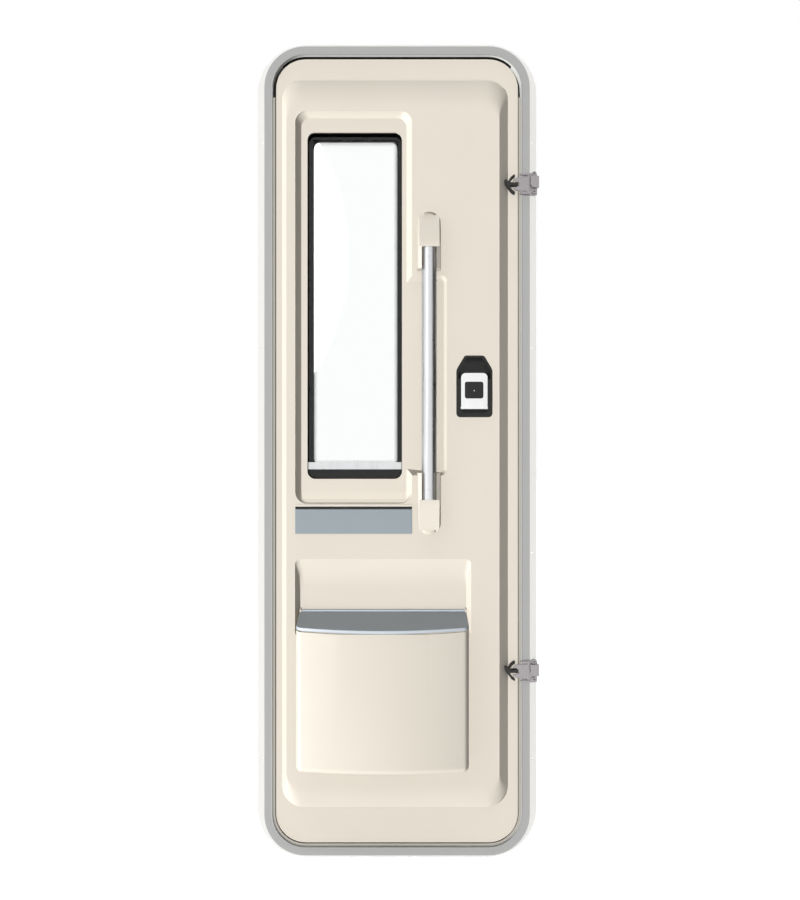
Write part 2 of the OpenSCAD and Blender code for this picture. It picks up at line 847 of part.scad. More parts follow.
// Axle across the bezel, about which the lever tips towards the room
lever_pin_length = bezel_w - 4;
module lever_axle(r, length) {
  translate([latch_x - length / 2, lever_pivot[0], lever_pivot[1]]) rotate([0, 90, 0])
    cylinder(h = length, r = r);
}

// The lever is a crowned plate with a round knuckle at its foot, so that it clears the frame as
// it tips.
module latch_lever() {
  x0 = latch_x - lever_w / 2;
  crown_r = (pow(lever_w / 2, 2) + pow(lever_crown, 2)) / (2 * lever_crown);
  color(silver) {
    difference() {
      intersection() {
        union() {
          slab(y_panel, y_panel + lever_t) {
            round_rect(x0, lever_pivot[1], lever_w, lever_h - lever_t / 2, lever_corner_r);
            translate([x0, lever_pivot[1]]) square([lever_w, lever_h / 2]);
          }
          lever_axle(lever_t / 2, lever_w);
        }
        translate([latch_x, y_panel + crown_r, lever_z - 1])
          cylinder(h = lever_h + 2, r = crown_r, $fn = 360);
      }
      slab(y_panel - 1, y_panel + lever_t - 2)
        round_rect(x0 + inset_side, lever_z + inset_z, inset_w, inset_h, inset_r);
    }
    lever_axle(lever_pin_r, lever_pin_length);
  }
}

module lever_inset() {
  x0 = latch_x - lever_w / 2 + inset_side + inset_fit;
  color(black) slab(y_panel + 0.8, y_panel + lever_t - 2)
    round_rect(x0, lever_z + inset_z + inset_fit, inset_w - 2 * inset_fit, inset_h - 2 * inset_fit,
               inset_r - inset_fit);
}

// Bin, seen in plan: a flat back, straight sides, round corners and a bulged front. Its walls are
// set in by inset, and its back by back.
front_steps = 24;
function bin_outline(inset, back, z) =
  let (
    w = bin_w / 2 - inset,
    r = bin_r - inset,
    arc_r = bin_arc_r - inset,
    arc_y = arc_r + inset - bin_d - bin_bulge,
    corner = [w - r, arc_y - sqrt(pow(arc_r - r, 2) - pow(w - r, 2))],
    turn = atan2(corner[1] - arc_y, corner[0]),
    side = [for (i = [0:corner_steps])
      [corner[0] + r * cos(turn * i / corner_steps), corner[1] + r * sin(turn * i / corner_steps)]],
    front = [for (i = [1:front_steps - 1])
      let (a = turn - (180 + 2 * turn) * i / front_steps) [arc_r * cos(a), arc_y + arc_r * sin(a)]],
    far_side = [for (i = [corner_steps:-1:0]) [-side[i][0], side[i][1]]]
  )
  [for (p = concat([[w, -back]], side, front, far_side, [[-w, -back]]))
    [bin_x + bin_w / 2 + p[0], bin_back + p[1], z]];

// Places its children in the lid's own frame: origin on the lid's axle, -Y down the slope.
module on_lid() {
  translate([0, lid_pivot[0], lid_pivot[1]]) rotate([lid_slope, 0, 0]) translate([0, -lid_pivot[0], 0])
    children();
}

// The bucket is a shell whose rim follows the lid's slope. A flat facet across its bulged front
// leaves a crescent under the lid's edge for the fingers.
module bin_bucket() {
  seat = lid_t + lid_seat_gap;
  color(cream) difference() {
    union() {
      difference() {
        stack([
          for (a = [0:15:90]) bin_outline(bin_foot_r * (1 - sin(a)), 0, bin_z + bin_foot_r * (1 - cos(a))),
          bin_outline(0, 0, bin_top + 4)
        ]);
        on_lid() translate([bin_x - 50, bin_back - 200, -seat]) cube([bin_w + 100, 300, 100]);
        front_facet(0);
      }
      for (x = [bin_x, bin_x + bin_w - ear_t]) translate([x, lid_pivot[0], lid_pivot[1]]) lid_ear();
    }
    difference() {
      stack([
        bin_outline(bin_wall + bin_foot_r * 0.7, bin_wall, bin_z + bin_wall),
        bin_outline(bin_wall + bin_foot_r * 0.2, bin_wall, bin_z + bin_wall + bin_foot_r * 0.3),
        bin_outline(bin_wall, bin_wall, bin_z + bin_wall + bin_foot_r),
        bin_outline(bin_wall, bin_wall, bin_top + 5)
      ]);
      front_facet(bin_wall);
    }
    lid_axle(lid_pin_r + lid_pin_fit, bin_w + 10);
  }
}

// An ear behind the lid carries one end of its axle. A step at its foot reaches the side wall.
module lid_ear() {
  ear_front = bin_back - lid_pivot[0] + ear_lid_gap;
  rotate([0, 90, 0]) cylinder(h = ear_t, r = ear_r);
  translate([0, ear_front, -24]) cube([ear_t, ear_r - ear_front, 24]);
  translate([0, ear_front - ear_lid_gap - ear_t, -24]) cube([ear_t, ear_lid_gap + ear_t + 1, 11.5]);
}

bin_arc_r = (pow(bin_w / 2, 2) + pow(bin_bulge, 2)) / (2 * bin_bulge);
scoop_depth = bin_arc_r - sqrt(pow(bin_arc_r, 2) - pow(scoop_w / 2, 2));

module front_facet(wall) {
  translate([bin_x, bin_back - bin_d - bin_bulge, lid_front_z() - scoop_h])
    rotate([-atan2(scoop_depth, scoop_h), 0, 0]) translate([0, wall - 60, -20]) cube([bin_w, 60, 80]);
}

// Height of the bin's rim at the middle of its front
function lid_front_z() =
  lid_pivot[1] - (lid_pivot[0] - bin_back + bin_d + bin_bulge) * tan(lid_slope)
    - (lid_t + lid_seat_gap) / cos(lid_slope);

module lid_axle(r, length) {
  translate([bin_x + bin_w / 2 - length / 2, lid_pivot[0], lid_pivot[1]]) rotate([0, 90, 0])
    cylinder(h = length, r = r);
}

module bin_lid() {
  side = ear_t + 1;
  color(dark_grey) {
    on_lid() {
      stack([
        bin_outline(1, 0, -lid_t), bin_outline(0, 0, -lid_t + 1), bin_outline(0, 0, -2.4),
        bin_outline(0.5, 0, -1), bin_outline(2.4, 0, 0)
      ]);
      translate([bin_x + side, bin_back - 2, -lid_t / 2])
        cube([bin_w - 2 * side, lid_pivot[0] - bin_back + 2, lid_t / 2 - 0.6]);
    }
    lid_axle(lid_knuckle_r, bin_w - 2 * side - 4);
    lid_axle(lid_pin_r, bin_w);
  }
}

// Outdoor handle
module outer_handle_plate() {
  color(black) slab(y_skin, y_skin + 6) bezel_outline(-2);
}

module outer_handle_grip() {
  color(black) slab(y_skin + 6, y_skin + 22) round_rect(latch_x - 16, latch_z + 40, 32, 80, 8);
}

module key_cylinder() {
  color(silver) translate([latch_x, y_skin + 9, latch_z + 20]) rotate([90, 0, 0]) cylinder(h = 3, r = 10);
}

frame_head();
frame_sill();
frame_left_jamb();
frame_right_jamb();
frame_trim_ring();
frame_seal();
frame_lip_seal();
upper_striker_plate();
upper_striker_block();
lower_striker_plate();
lower_striker_block();
upper_hinge_frame_plate();
lower_hinge_frame_plate();
upper_hinge_pin();
lower_hinge_pin();
upper_hinge_leaf_plate();
lower_hinge_leaf_plate();
outer_skin();
leaf_core();
leaf_edge_profile();
liner();
window_inner_pane();
window_outer_pane();
window_spacer();
window_gasket();
window_tunnel();
blind_pull_bar();
blind_cassette();
blind_cover();
blind_slot_seal();
blind_lip();
grab_bar();
upper_bar_socket();
lower_bar_socket();
bar_screws();
latch_bezel();
latch_lever();
lever_inset();
upper_catch();
lower_catch();
bin_bucket();
bin_lid();
outer_handle_plate();
outer_handle_grip();
key_cylinder();
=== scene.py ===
# %% [markdown]
# A caravan entry door, seen from indoors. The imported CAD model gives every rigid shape, so this
# lesson is about finishes and small parts: it copies each CAD shape, softens its edges as moulding
# and extrusion do, gives it the material that it is really made of, and adds the parts that are
# too small for the CAD model. Lengths are in metres: X to the right, Y outdoors, Z up.

# %% Load the frame
import json
import math

import bmesh
import bpy
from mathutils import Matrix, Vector

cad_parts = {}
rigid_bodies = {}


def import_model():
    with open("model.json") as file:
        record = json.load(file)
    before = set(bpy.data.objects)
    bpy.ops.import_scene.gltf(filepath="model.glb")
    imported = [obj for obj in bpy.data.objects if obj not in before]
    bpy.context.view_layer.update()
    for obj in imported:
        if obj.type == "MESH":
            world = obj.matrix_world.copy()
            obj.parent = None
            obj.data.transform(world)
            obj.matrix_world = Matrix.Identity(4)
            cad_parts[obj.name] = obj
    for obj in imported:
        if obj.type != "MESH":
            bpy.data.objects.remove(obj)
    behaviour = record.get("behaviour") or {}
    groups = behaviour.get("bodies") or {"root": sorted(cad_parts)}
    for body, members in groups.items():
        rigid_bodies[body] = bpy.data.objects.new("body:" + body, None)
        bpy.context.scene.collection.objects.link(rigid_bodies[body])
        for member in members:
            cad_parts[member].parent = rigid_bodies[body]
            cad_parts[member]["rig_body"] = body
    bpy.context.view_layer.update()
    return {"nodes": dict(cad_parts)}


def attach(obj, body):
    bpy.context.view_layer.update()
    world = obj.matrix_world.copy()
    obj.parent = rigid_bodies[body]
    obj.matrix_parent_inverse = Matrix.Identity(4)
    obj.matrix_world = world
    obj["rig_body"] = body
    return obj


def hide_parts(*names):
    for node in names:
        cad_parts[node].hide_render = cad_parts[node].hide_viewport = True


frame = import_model()

# %% [markdown]
# Colours are written as the hex values that an image editor shows. Shaders work in linear light,
# so one function turns the first into the second.

# %% Colour and node helpers
MM = 0.001


def linear(hex_colour):
    channels = [int(hex_colour[i:i + 2], 16) / 255 for i in (0, 2, 4)]
    return [c / 12.92 if c <= 0.04045 else ((c + 0.055) / 1.055) ** 2.4 for c in channels] + [1]


def add(tree, kind, settings=None, inputs=None):
    """Adds a node, sets its properties, and sets or links its inputs."""
    node = tree.nodes.new(kind)
    for name, value in (settings or {}).items():
        setattr(node, name, value)
    for name, value in (inputs or {}).items():
        if isinstance(value, bpy.types.NodeSocket):
            tree.links.new(value, node.inputs[name])
        else:
            node.inputs[name].default_value = value
    return node


def shader(name, hex_colour, roughness, metallic=0.0, **sockets):
    """A material with a Principled shader. Extra sockets are set by name, with _ for a space."""
    material = bpy.data.materials.new(name)
    material.use_nodes = True
    surface = material.node_tree.nodes["Principled BSDF"]
    surface.inputs["Base Color"].default_value = linear(hex_colour)
    surface.inputs["Roughness"].default_value = roughness
    surface.inputs["Metallic"].default_value = metallic
    for socket, value in sockets.items():
        surface.inputs[socket.replace("_", " ")].default_value = value
    return material


# %% [markdown]
# Moulded plastic has three things that a flat colour lacks: a fine grain pressed in by the mould,
# a very slight drift of shade over a hand's width, and a gloss that varies with the grain. Each
# pattern's scale is worked out from a size in millimetres. The real grain is about 0.3 mm wide,
# too fine for this picture, so it is drawn at a little over 1 mm.

# %% Surface patterns
def pattern(tree, size_mm, detail=2.0, stretch=(1, 1, 1)):
    """Noise whose features are about size_mm wide, longer along an axis where stretch is small."""
    place = add(tree, "ShaderNodeTexCoord")
    turned = add(tree, "ShaderNodeMapping", {}, {
        "Vector": place.outputs["Object"], "Scale": stretch})
    return add(tree, "ShaderNodeTexNoise", {}, {
        "Vector": turned.outputs["Vector"], "Scale": 1 / (size_mm * MM), "Detail": detail})


def grain(material, size_mm, depth_mm, stretch=(1, 1, 1)):
    tree = material.node_tree
    noise = pattern(tree, size_mm, 2.0, stretch)
    bump = add(tree, "ShaderNodeBump", {}, {
        "Height": noise.outputs["Fac"], "Distance": depth_mm * MM, "Strength": 0.6})
    tree.links.new(bump.outputs["Normal"], tree.nodes["Principled BSDF"].inputs["Normal"])


def drift(material, hex_low, hex_high, size_mm=140, stretch=(1, 1, 1)):
    """Lets the colour wander slowly between two close shades."""
    tree = material.node_tree
    noise = pattern(tree, size_mm, 1.0, stretch)
    mix = add(tree, "ShaderNodeMix", {"data_type": "RGBA"}, {
        0: noise.outputs["Fac"], 6: linear(hex_low), 7: linear(hex_high)})
    tree.links.new(mix.outputs[2], tree.nodes["Principled BSDF"].inputs["Base Color"])


def gloss(material, low, high, size_mm=30, stretch=(1, 1, 1)):
    """Lets the roughness wander, as handling and cleaning leave it."""
    tree = material.node_tree
    noise = pattern(tree, size_mm, 3.0, stretch)
    span = add(tree, "ShaderNodeMapRange", {}, {
        "Value": noise.outputs["Fac"], "From Min": 0.35, "From Max": 0.65,
        "To Min": low, "To Max": high})
    tree.links.new(span.outputs["Result"], tree.nodes["Principled BSDF"].inputs["Roughness"])


# %% Materials
# Vacuum-formed ABS sheet: cream, with a faint leather-like grain that kills any sharp reflection.
cream_abs = shader("thermoformed_cream_abs", "e3dbce", 0.5, Specular_IOR_Level=0.35)
drift(cream_abs, "e1d9cc", "e5ddd0")
gloss(cream_abs, 0.46, 0.56)
grain(cream_abs, 1.2, 0.03)

# Injection-moulded ABS: the same cream, smoother and a touch glossier than the sheet.
bin_abs = shader("injection_moulded_cream_abs", "e4ddd0", 0.4, Specular_IOR_Level=0.4)
drift(bin_abs, "e3dbce", "e6dfd2")
gloss(bin_abs, 0.36, 0.44)
grain(bin_abs, 0.9, 0.012)

# Cool grey ABS of the bin's lid and the blind's cover, satin from a sparked mould.
grey_abs = shader("satin_grey_abs", "98a2a8", 0.42)
drift(grey_abs, "96a0a6", "9aa4aa", 90)
gloss(grey_abs, 0.38, 0.5)
grain(grey_abs, 1.0, 0.02)

# The bin's lid is of the same grey ABS, polished, so that its top mirrors the pale room. Its colour
# is
# painted lighter than that grey: painted light that stands in for the light on the lid's top.
lid_abs_painted_lighter = shader("polished_grey_abs_painted_lighter", "c4cdd4", 0.38, Specular_IOR_Level=0.9, Coat_Weight=0.3)
drift(lid_abs_painted_lighter, "c2cbd2", "c6cfd6", 90)
gloss(lid_abs_painted_lighter, 0.34, 0.42)
grain(lid_abs_painted_lighter, 1.0, 0.01)

# Rigid PVC of the trim ring, extruded: grey, with faint lines along its length.
trim_pvc = shader("extruded_grey_pvc", "acacab", 0.45)
drift(trim_pvc, "aaaaa9", "aeafae", 200)
grain(trim_pvc, 1.4, 0.015, (1, 1, 0.05))

# Powder coat on extruded aluminium: white, with a slight orange-peel.
powder_coat = shader("white_powder_coat", "ecebe8", 0.38)
drift(powder_coat, "eae9e6", "eeedea", 260)
grain(powder_coat, 2.2, 0.04)

# Gel coat over glass fibre, the outdoor skin: white and glossy, with a soft long wave.
gel_coat = shader("white_gel_coat", "f0efec", 0.16, Coat_Weight=0.3, Coat_Roughness=0.05)
drift(gel_coat, "eeedea", "f1f0ee", 400)
grain(gel_coat, 45, 0.25)

# EPDM rubber of seals and gaskets: matt black with a dusty sheen.
epdm_rubber = shader("black_epdm_rubber", "1b1b1c", 0.75, Sheen_Weight=0.2)
grain(epdm_rubber, 1.0, 0.03)

# Black rigid PVC of the profile round the leaf's edge. Its black is also painted shade: it stands
# in for the shadow in the gap round the leaf, which the shadowless key lamp does not cast.
edge_pvc_and_gap_shade = shader("black_rigid_pvc_and_painted_gap_shade", "1d1d1d", 0.45)
grain(edge_pvc_and_gap_shade, 1.2, 0.02, (1, 1, 0.05))

# Soft grey lip of the inner seal: matt thermoplastic rubber, near the cream of the liner.
lip_rubber = shader("soft_grey_rubber", "b5b0a6", 0.7, Sheen_Weight=0.1)
grain(lip_rubber, 1.0, 0.02)

# Glass-filled nylon of the catches, and the sparked black ABS of the latch and the surround.
black_nylon = shader("black_glass_filled_nylon", "171614", 0.42)
grain(black_nylon, 0.8, 0.03)
black_abs = shader("sparked_black_abs", "1e1e1e", 0.5, Specular_IOR_Level=0.3)
drift(black_abs, "1b1b1b", "222221", 40)
grain(black_abs, 0.9, 0.03)
surround_abs = shader("matt_black_abs", "050505", 0.6, Specular_IOR_Level=0.05)
grain(surround_abs, 1.0, 0.02)

# Aluminium, drawn and satin anodised: fine lines along the bar soften its reflections sideways.
anodised_bar = shader("satin_anodised_aluminium", "d9dadb", 0.3, 1.0, Anisotropic=0.5)
gloss(anodised_bar, 0.25, 0.36, 12, (1, 1, 0.1))
grain(anodised_bar, 0.8, 0.02, (1, 1, 0.02))

# Stamped stainless steel of the strikers: tumbled, so bright but with no clear image.
stamped_steel = shader("tumbled_stainless_steel", "a7a3a5", 0.3, 1.0)
gloss(stamped_steel, 0.24, 0.4, 5)
grain(stamped_steel, 1.5, 0.02)

# Chromed screws and the lock cylinder.
chrome = shader("chrome_plate", "d7d8da", 0.12, 1.0)
gloss(chrome, 0.08, 0.18, 4)

# Silver paint on the moulded lever: tiny metal flakes under a clear coat.
silver_paint = shader("silver_painted_abs", "f1f1f2", 0.24, 0.85, Coat_Weight=0.4,
                      Coat_Roughness=0.1)
drift(silver_paint, "eeeeef", "f4f4f5", 1.2)
grain(silver_paint, 0.9, 0.006)

# Cast acrylic of the panes: clear, a little blue, with a faint long wave from casting.
acrylic = shader("clear_cast_acrylic", "fdfefe", 0.02, Transmission_Weight=1.0, IOR=1.49,
                 Specular_IOR_Level=0.2)
grain(acrylic, 60, 0.02)

# Extruded polystyrene foam of the core. It shows only where a hinge or a lock lets light in.
foam = shader("extruded_polystyrene", "e6e2d4", 0.9)
grain(foam, 1.5, 0.2)
print("materials:", len(bpy.data.materials))

# %% [markdown]
# No moulded or extruded part has a knife edge, and the thin line of light along a rounded edge is
# what tells the eye how big a part is. Each visible CAD shape is copied, its triangles are merged
# back into whole faces, and a bevel of the real edge radius goes round it. Edges that turn less
# than the bevel's angle belong to a curve, so they are only shaded smooth.

# %% Places in the frame
def extent(node):
    """The lowest and the highest corner of a CAD shape."""
    places = [vertex.co for vertex in frame["nodes"][node].data.vertices]
    return [Vector([pick(place[axis] for place in places) for axis in range(3)])
            for pick in (min, max)]


PANEL_Y = extent("blind_cover")[1].y  # face of the raised panel
RIM_Y = extent("frame_lip_seal")[1].y  # face of the leaf round the panel
DOOR_MID_Z = 900 * MM
PANE = extent("window_inner_pane")
BAR = extent("grab_bar")
TOUCH = 0.1 * MM  # slack when a place is compared with a surface
PRINT_T = 0.2 * MM  # how far print stands off the surface under it

# %% [markdown]
# Three forms are truer to the photograph than the CAD solids are, so they are shaped here. The
# sockets of the grab bar fall away towards their round ends and have steep sides, the hollow behind
# the bar has steeper walls, and the raised panel ends at its foot in a soft roll and a crisp step.

# %% Shape the moulding
def moved(piece, rule):
    for vertex in piece.data.vertices:
        vertex.co = rule(vertex.co.copy())


def cut_level(piece, z):
    """Adds edges at one height, so that a form can change there."""
    shell = bmesh.new()
    shell.from_mesh(piece.data)
    everything = list(shell.verts) + list(shell.edges) + list(shell.faces)
    bmesh.ops.bisect_plane(shell, geom=everything, plane_co=(0, 0, z), plane_no=(0, 0, 1),
                           dist=0.01 * MM)
    shell.to_mesh(piece.data)
    shell.free()


SOCKET_DEPTHS = (0, 0.35, 0.65, 0.85, 0.96, 1)  # shares of the socket's height
SOCKET_INSETS = (0, 0.8, 3, 7, 11.5, 14)  # how far the CAD sides have drawn in there, in mm
STEEPER_SHARE = 0.3  # share of that draft which is left
BORE_R = 16.2 * MM  # of the hole that takes the bar
SOCKET_FALL = 0.42  # share of its height that a socket loses at its round end
SOCKET_STRETCH = 0.5  # how much the round end grows where the sides have drawn in
UPPER_HALF_Z = DOOR_MID_Z + 0.2


def socket_inset(share):
    for i in range(len(SOCKET_DEPTHS) - 1):
        if share <= SOCKET_DEPTHS[i + 1]:
            span = SOCKET_DEPTHS[i + 1] - SOCKET_DEPTHS[i]
            part = max(0, share - SOCKET_DEPTHS[i]) / span
            return (SOCKET_INSETS[i] + part * (SOCKET_INSETS[i + 1] - SOCKET_INSETS[i])) * MM
    return SOCKET_INSETS[-1] * MM


def shape_socket(piece, node):
    low, high = extent(node)
    middle = (low.x + high.x) / 2
    half = (high.x - low.x) / 2
    upper = high.z > UPPER_HALF_Z
    bar_end = BAR[1].z + MM if upper else BAR[0].z - MM
    round_end = high.z if upper else low.z
    cut_level(piece, bar_end)

    def rule(co):
        share = (PANEL_Y - co.y) / (PANEL_Y - low.y)
        aside = co.x - middle
        from_axis = math.hypot(aside, co.y - (BAR[0].y + BAR[1].y) / 2)
        in_bore = abs(abs(aside) - BORE_R) < TOUCH or from_axis < BORE_R + TOUCH
        if not in_bore:
            inset = socket_inset(share)
            co.x = middle + aside * (half - STEEPER_SHARE * inset) / (half - inset)
            beyond = (co.z - bar_end) / (round_end - bar_end)
            if beyond > 0:
                co.z = bar_end + (co.z - bar_end) * (1 + SOCKET_STRETCH * inset / half)
                co.z = min(co.z, high.z) if upper else max(co.z, low.z)
                co.y = PANEL_Y - (PANEL_Y - co.y) * (1 - SOCKET_FALL * min(1, beyond))
        return co
    moved(piece, rule)


# The hollow behind the bar: its right and left edge, its ends, and how far its walls slope
HAND_X = 110 * MM
HAND_LEFT_X = 34 * MM
HAND_Z = (846 * MM, 1286 * MM)
HAND_SLOPE = 14 * MM
HAND_STEEPER = 7.5 * MM  # how far the foot of each wall moves out
HAND_ROUND = 10 * MM
HAND_WALL = (0.005, 1.005)  # shares of the hollow's depth that belong to its walls
RECESS_DEEP = 15 * MM

# The raised panel: its outline on the rim, its slopes, and the roll and step at its foot
PANEL_X = (-254 * MM, 245 * MM)
PANEL_FOOT_Z = 115 * MM
PANEL_DEEP = RIM_Y - PANEL_Y
PANEL_CORNER = 45 * MM
SIDE_SLOPES = (11 * MM, 20 * MM)
PANEL_SIDE = (0.02, 0.995)  # shares of the panel's height that belong to its slopes
FOOT_ROLL = 48 * MM
FOOT_STEP = 3.5 * MM
FOOT_LESS = 0.55  # share of its depth that the roll loses at the foot


def shape_liner(piece, _node):
    def foot_share(co, h):
        """1 on the panel's foot, 0 on its sides, and between the two round the corners."""
        turn = PANEL_CORNER - h * SIDE_SLOPES[0]
        centre_z = PANEL_FOOT_Z + (1 - math.sqrt(1 - h)) * FOOT_ROLL + turn
        left = PANEL_X[0] + PANEL_CORNER
        right = PANEL_X[1] - h * SIDE_SLOPES[1] - turn
        aside = max(left - co.x, co.x - right, 0)
        under = max(centre_z - co.z, 0)
        return under ** 2 / (under ** 2 + aside ** 2) if under else 0

    def rule(co):
        deep = (co.y - PANEL_Y) / RECESS_DEEP
        h = (RIM_Y - co.y) / PANEL_DEEP
        in_hand = HAND_WALL[0] < deep <= HAND_WALL[1] and HAND_Z[0] - MM < co.z < HAND_Z[1] + MM
        if in_hand:
            if co.x > HAND_X - HAND_SLOPE - HAND_ROUND:
                co.x += deep * HAND_STEEPER
            if co.x > HAND_LEFT_X and co.z > HAND_Z[1] - HAND_SLOPE - HAND_ROUND:
                co.z += deep * HAND_STEEPER
            if co.x > HAND_LEFT_X and co.z < HAND_Z[0] + HAND_SLOPE + HAND_ROUND:
                co.z -= deep * HAND_STEEPER
        elif PANEL_SIDE[0] < h < PANEL_SIDE[1] and co.z < PANEL_FOOT_Z + 2 * FOOT_ROLL:
            share = foot_share(co, h)
            rolled = min(1, (co.z - PANEL_FOOT_Z) / FOOT_ROLL)
            co.z -= share * FOOT_STEP * (1 - rolled)
            co.y = PANEL_Y + (co.y - PANEL_Y) * (1 - FOOT_LESS * share)
        return co
    moved(piece, rule)


SHAPED = {"upper_bar_socket": shape_socket, "lower_bar_socket": shape_socket, "liner": shape_liner}
# Degrees from which an edge is rounded, and from which it is shaded crisp
EDGE_ANGLES = (38, 32)
SHALLOW_EDGE_ANGLES = {"liner": (23, 21)}
EDGE_SEGMENTS = 2

# %% Dress the CAD shapes
def merged_copy(node):
    """The CAD node's mesh as one closed shell of flat faces, in a new piece."""
    mesh = bpy.data.meshes.new(node + "_finish")
    shell = bmesh.new()
    shell.from_mesh(frame["nodes"][node].data)
    bmesh.ops.remove_doubles(shell, verts=shell.verts, dist=0.005 * MM)
    bmesh.ops.dissolve_limit(shell, angle_limit=math.radians(0.3),
                             verts=shell.verts, edges=shell.edges)
    shell.to_mesh(mesh)
    shell.free()
    mesh.materials.clear()
    piece = bpy.data.objects.new(node + "_finish", mesh)
    bpy.context.scene.collection.objects.link(piece)
    return piece


def baked(piece):
    """Swaps a piece's live modifiers for their result."""
    depsgraph = bpy.context.evaluated_depsgraph_get()
    mesh = bpy.data.meshes.new_from_object(piece.evaluated_get(depsgraph))
    piece.modifiers.clear()
    piece.data = mesh
    return piece


def smooth(piece, angle):
    """Shades curves smooth, and keeps the large flat faces beside them flat."""
    for face in piece.data.polygons:
        face.use_smooth = True
    piece.data.set_sharp_from_angle(angle=math.radians(angle))
    weighted = piece.modifiers.new("flat_faces_first", "WEIGHTED_NORMAL")
    weighted.mode = "FACE_AREA"
    weighted.weight = 50
    weighted.keep_sharp = True
    baked(piece)


def set_down(piece, node):
    """Gives a finished piece the body of a CAD shape."""
    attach(piece, frame["nodes"][node]["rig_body"])


def dress(node, material, edge_mm):
    angle, shade_angle = SHALLOW_EDGE_ANGLES.get(node, EDGE_ANGLES)
    piece = merged_copy(node)
    if node in SHAPED:
        SHAPED[node](piece, node)
    piece.data.materials.append(material)
    if edge_mm:
        bevel = piece.modifiers.new("edge", "BEVEL")
        bevel.width = edge_mm * MM
        bevel.segments = EDGE_SEGMENTS
        bevel.limit_method = "ANGLE"
        bevel.angle_limit = math.radians(angle)
        bevel.use_clamp_overlap = True
        baked(piece)
    smooth(piece, shade_angle)
    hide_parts(node)
    set_down(piece, node)


# node, material, edge radius in millimetres
FINISHES = [
    ("frame_head", powder_coat, 0.6), ("frame_sill", powder_coat, 0.6),
    ("frame_left_jamb", powder_coat, 0.6), ("frame_right_jamb", powder_coat, 0.6),
    ("frame_trim_ring", trim_pvc, 0.5), ("frame_seal", epdm_rubber, 1.0),
    # The blind's slot seal is black rubber, and its black also stands in for the shade in that
    # groove.
    ("frame_lip_seal", lip_rubber, 0.4), ("blind_slot_seal", epdm_rubber, 0.3),
    ("blind_lip", bin_abs, 0.7),
    ("upper_striker_plate", stamped_steel, 0.4), ("lower_striker_plate", stamped_steel, 0.4),
    ("upper_striker_block", stamped_steel, 0.7), ("lower_striker_block", stamped_steel, 0.7),
    ("upper_hinge_frame_plate", powder_coat, 0.5), ("lower_hinge_frame_plate", powder_coat, 0.5),
    ("upper_hinge_leaf_plate", powder_coat, 0.5), ("lower_hinge_leaf_plate", powder_coat, 0.5),
    ("upper_hinge_pin", chrome, 0.5), ("lower_hinge_pin", chrome, 0.5),
    ("outer_skin", gel_coat, 0.5), ("leaf_edge_profile", edge_pvc_and_gap_shade, 0.4),
    ("liner", cream_abs, 1.2), ("window_tunnel", surround_abs, 0.6),
    ("window_inner_pane", acrylic, 0), ("window_outer_pane", acrylic, 0),
    ("window_spacer", surround_abs, 0), ("window_gasket", epdm_rubber, 0.5),
    ("blind_cassette", surround_abs, 0.6), ("blind_cover", grey_abs, 0.8),
    ("blind_pull_bar", anodised_bar, 0.8), ("grab_bar", anodised_bar, 0.4),
    ("upper_bar_socket", bin_abs, 1.0), ("lower_bar_socket", bin_abs, 1.0),
    ("bar_screws", chrome, 0.3), ("latch_bezel", black_abs, 0.8),
    ("latch_lever", silver_paint, 0.8), ("lever_inset", black_abs, 0.5),
    ("upper_catch", black_nylon, 0.6), ("lower_catch", black_nylon, 0.6),
    ("bin_bucket", bin_abs, 0.8), ("bin_lid", lid_abs_painted_lighter, 0.6),
    ("outer_handle_plate", black_abs, 1.0), ("outer_handle_grip", black_abs, 2.0),
    ("key_cylinder", chrome, 0.5), ("leaf_core", foam, 0),
]
for node, material, edge in FINISHES:
    dress(node, material, edge)
print("dressed", len(FINISHES), "CAD shapes")

# %% [markdown]
# The black border of the pane is printed on it, and it ends in rows of dots that get smaller
# towards the clear glass. Geometry Nodes lays them out: a grid of points over the pane, of which
# it keeps those near the edge, with one disc on each.

# %% Printed dots of the pane
DOT_SIDES = 8
SMALLEST_DOT = 0.25  # size of the innermost dots, as a share of the full one
FIRST_DOT = 0.08  # share of the band that stays clear at its inner side


